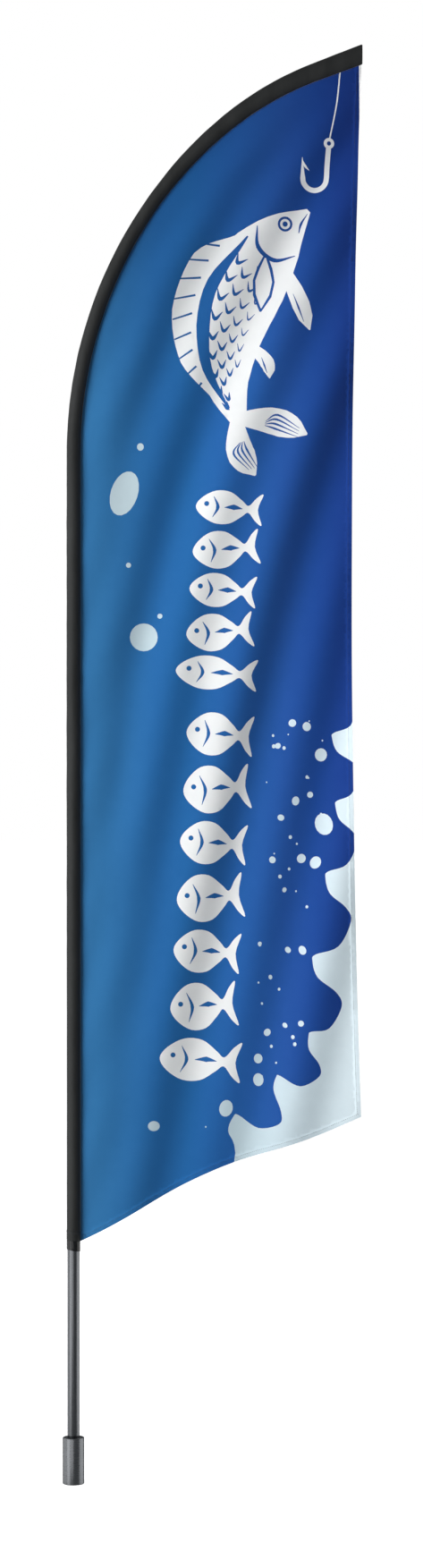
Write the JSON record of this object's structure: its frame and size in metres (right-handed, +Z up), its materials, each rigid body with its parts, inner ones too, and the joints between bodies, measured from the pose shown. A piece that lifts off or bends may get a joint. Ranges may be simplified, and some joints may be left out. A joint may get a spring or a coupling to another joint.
{
  "type": "feather flag",
  "caption": "Feather beach flag on a bowed sectional mast with a black pole sleeve, a blue printed panel and a swivelling ground socket.",
  "frame": {"origin": "centre of the flat underside of the ground socket, on the swivel axis", "axes": "+Z up along the mast and the swivel axis, +X from the mast towards the panel's free edge, -Y the way the printed front faces"},
  "size_m": [0.7083, 0.0563, 3.3997],
  "materials": {
    "anodised_aluminium": "satin grey anodised tube and turned parts",
    "bearing_steel": "ground steel",
    "brass": "machined brass",
    "nickel_plate": "nickel-plated eyelet",
    "black_plastic": "moulded black plastic",
    "grey_plastic": "moulded grey bush",
    "black_rubber": "moulded rubber",
    "glass_fibre": "pultruded glass fibre",
    "sleeve_fabric": "black woven polyester sleeve",
    "panel_fabric": "dye-printed knitted polyester, blue with pale shapes",
    "black_webbing": "elastic webbing"
  },
  "bodies": {
    "socket": {"socket_housing": "anodised_aluminium", "base_plug": "anodised_aluminium", "bearing_outer_race": "bearing_steel", "socket_bush": "grey_plastic", "dust_seal": "black_rubber"},
    "ball_cage": {"bearing_cage": "bearing_steel"},
    "cup": {"pole_cup": "anodised_aluminium", "bearing_inner_race": "bearing_steel", "retaining_ring": "bearing_steel", "cup_pad": "black_rubber"},
    "lower_mast": {"base_tube_foot": "black_plastic", "base_tube": "anodised_aluminium"},
    "flag": {"mid_tube": "anodised_aluminium", "mid_stop_ring": "black_plastic", "reducer_bush": "black_plastic", "upper_tube": "glass_fibre", "tip_ferrule": "bearing_steel", "tip_rod": "glass_fibre", "tip_cap": "black_rubber", "pole_sleeve": "sleeve_fabric", "sleeve_tip_pocket": "sleeve_fabric", "flag_panel": "panel_fabric", "tension_strap": "black_webbing"},
    "collar": {"tension_collar": "black_plastic", "collar_insert": "brass", "strap_tab": "black_webbing", "strap_eyelet": "nickel_plate"},
    "thumbscrew": {"collar_thumbscrew": "black_plastic"}
  },
  "joints": [
    {"name": "flag_swivel", "type": "hinge", "parent": "socket", "child": "cup", "pos_m": [0, 0, 0], "axis": [0, 0, 1], "continuous": true},
    {"name": "cage_roll", "type": "hinge", "parent": "socket", "child": "ball_cage", "pos_m": [0, 0, 0], "axis": [0, 0, 1], "continuous": true},
    {"name": "mast_lift", "type": "slide", "parent": "cup", "child": "lower_mast", "axis": [0, 0, 1], "range_m": [0, 0.075]},
    {"name": "upper_mast_lift", "type": "slide", "parent": "lower_mast", "child": "flag", "axis": [0, 0, 1], "range_m": [0, 0.135]},
    {"name": "collar_slide", "type": "slide", "parent": "flag", "child": "collar", "axis": [0, 0, -1], "range_m": [0, 0.04], "deforming": ["tension_strap"]},
    {"name": "thumbscrew_turn", "type": "hinge", "parent": "collar", "child": "thumbscrew", "pos_m": [0, 0.0225, 0.56325], "axis": [0, 1, 0], "range_deg": [0, 540]}
  ],
  "couplings": [
    {"joint": "cage_roll", "follows": "flag_swivel", "ratio": 0.40385}
  ]
}
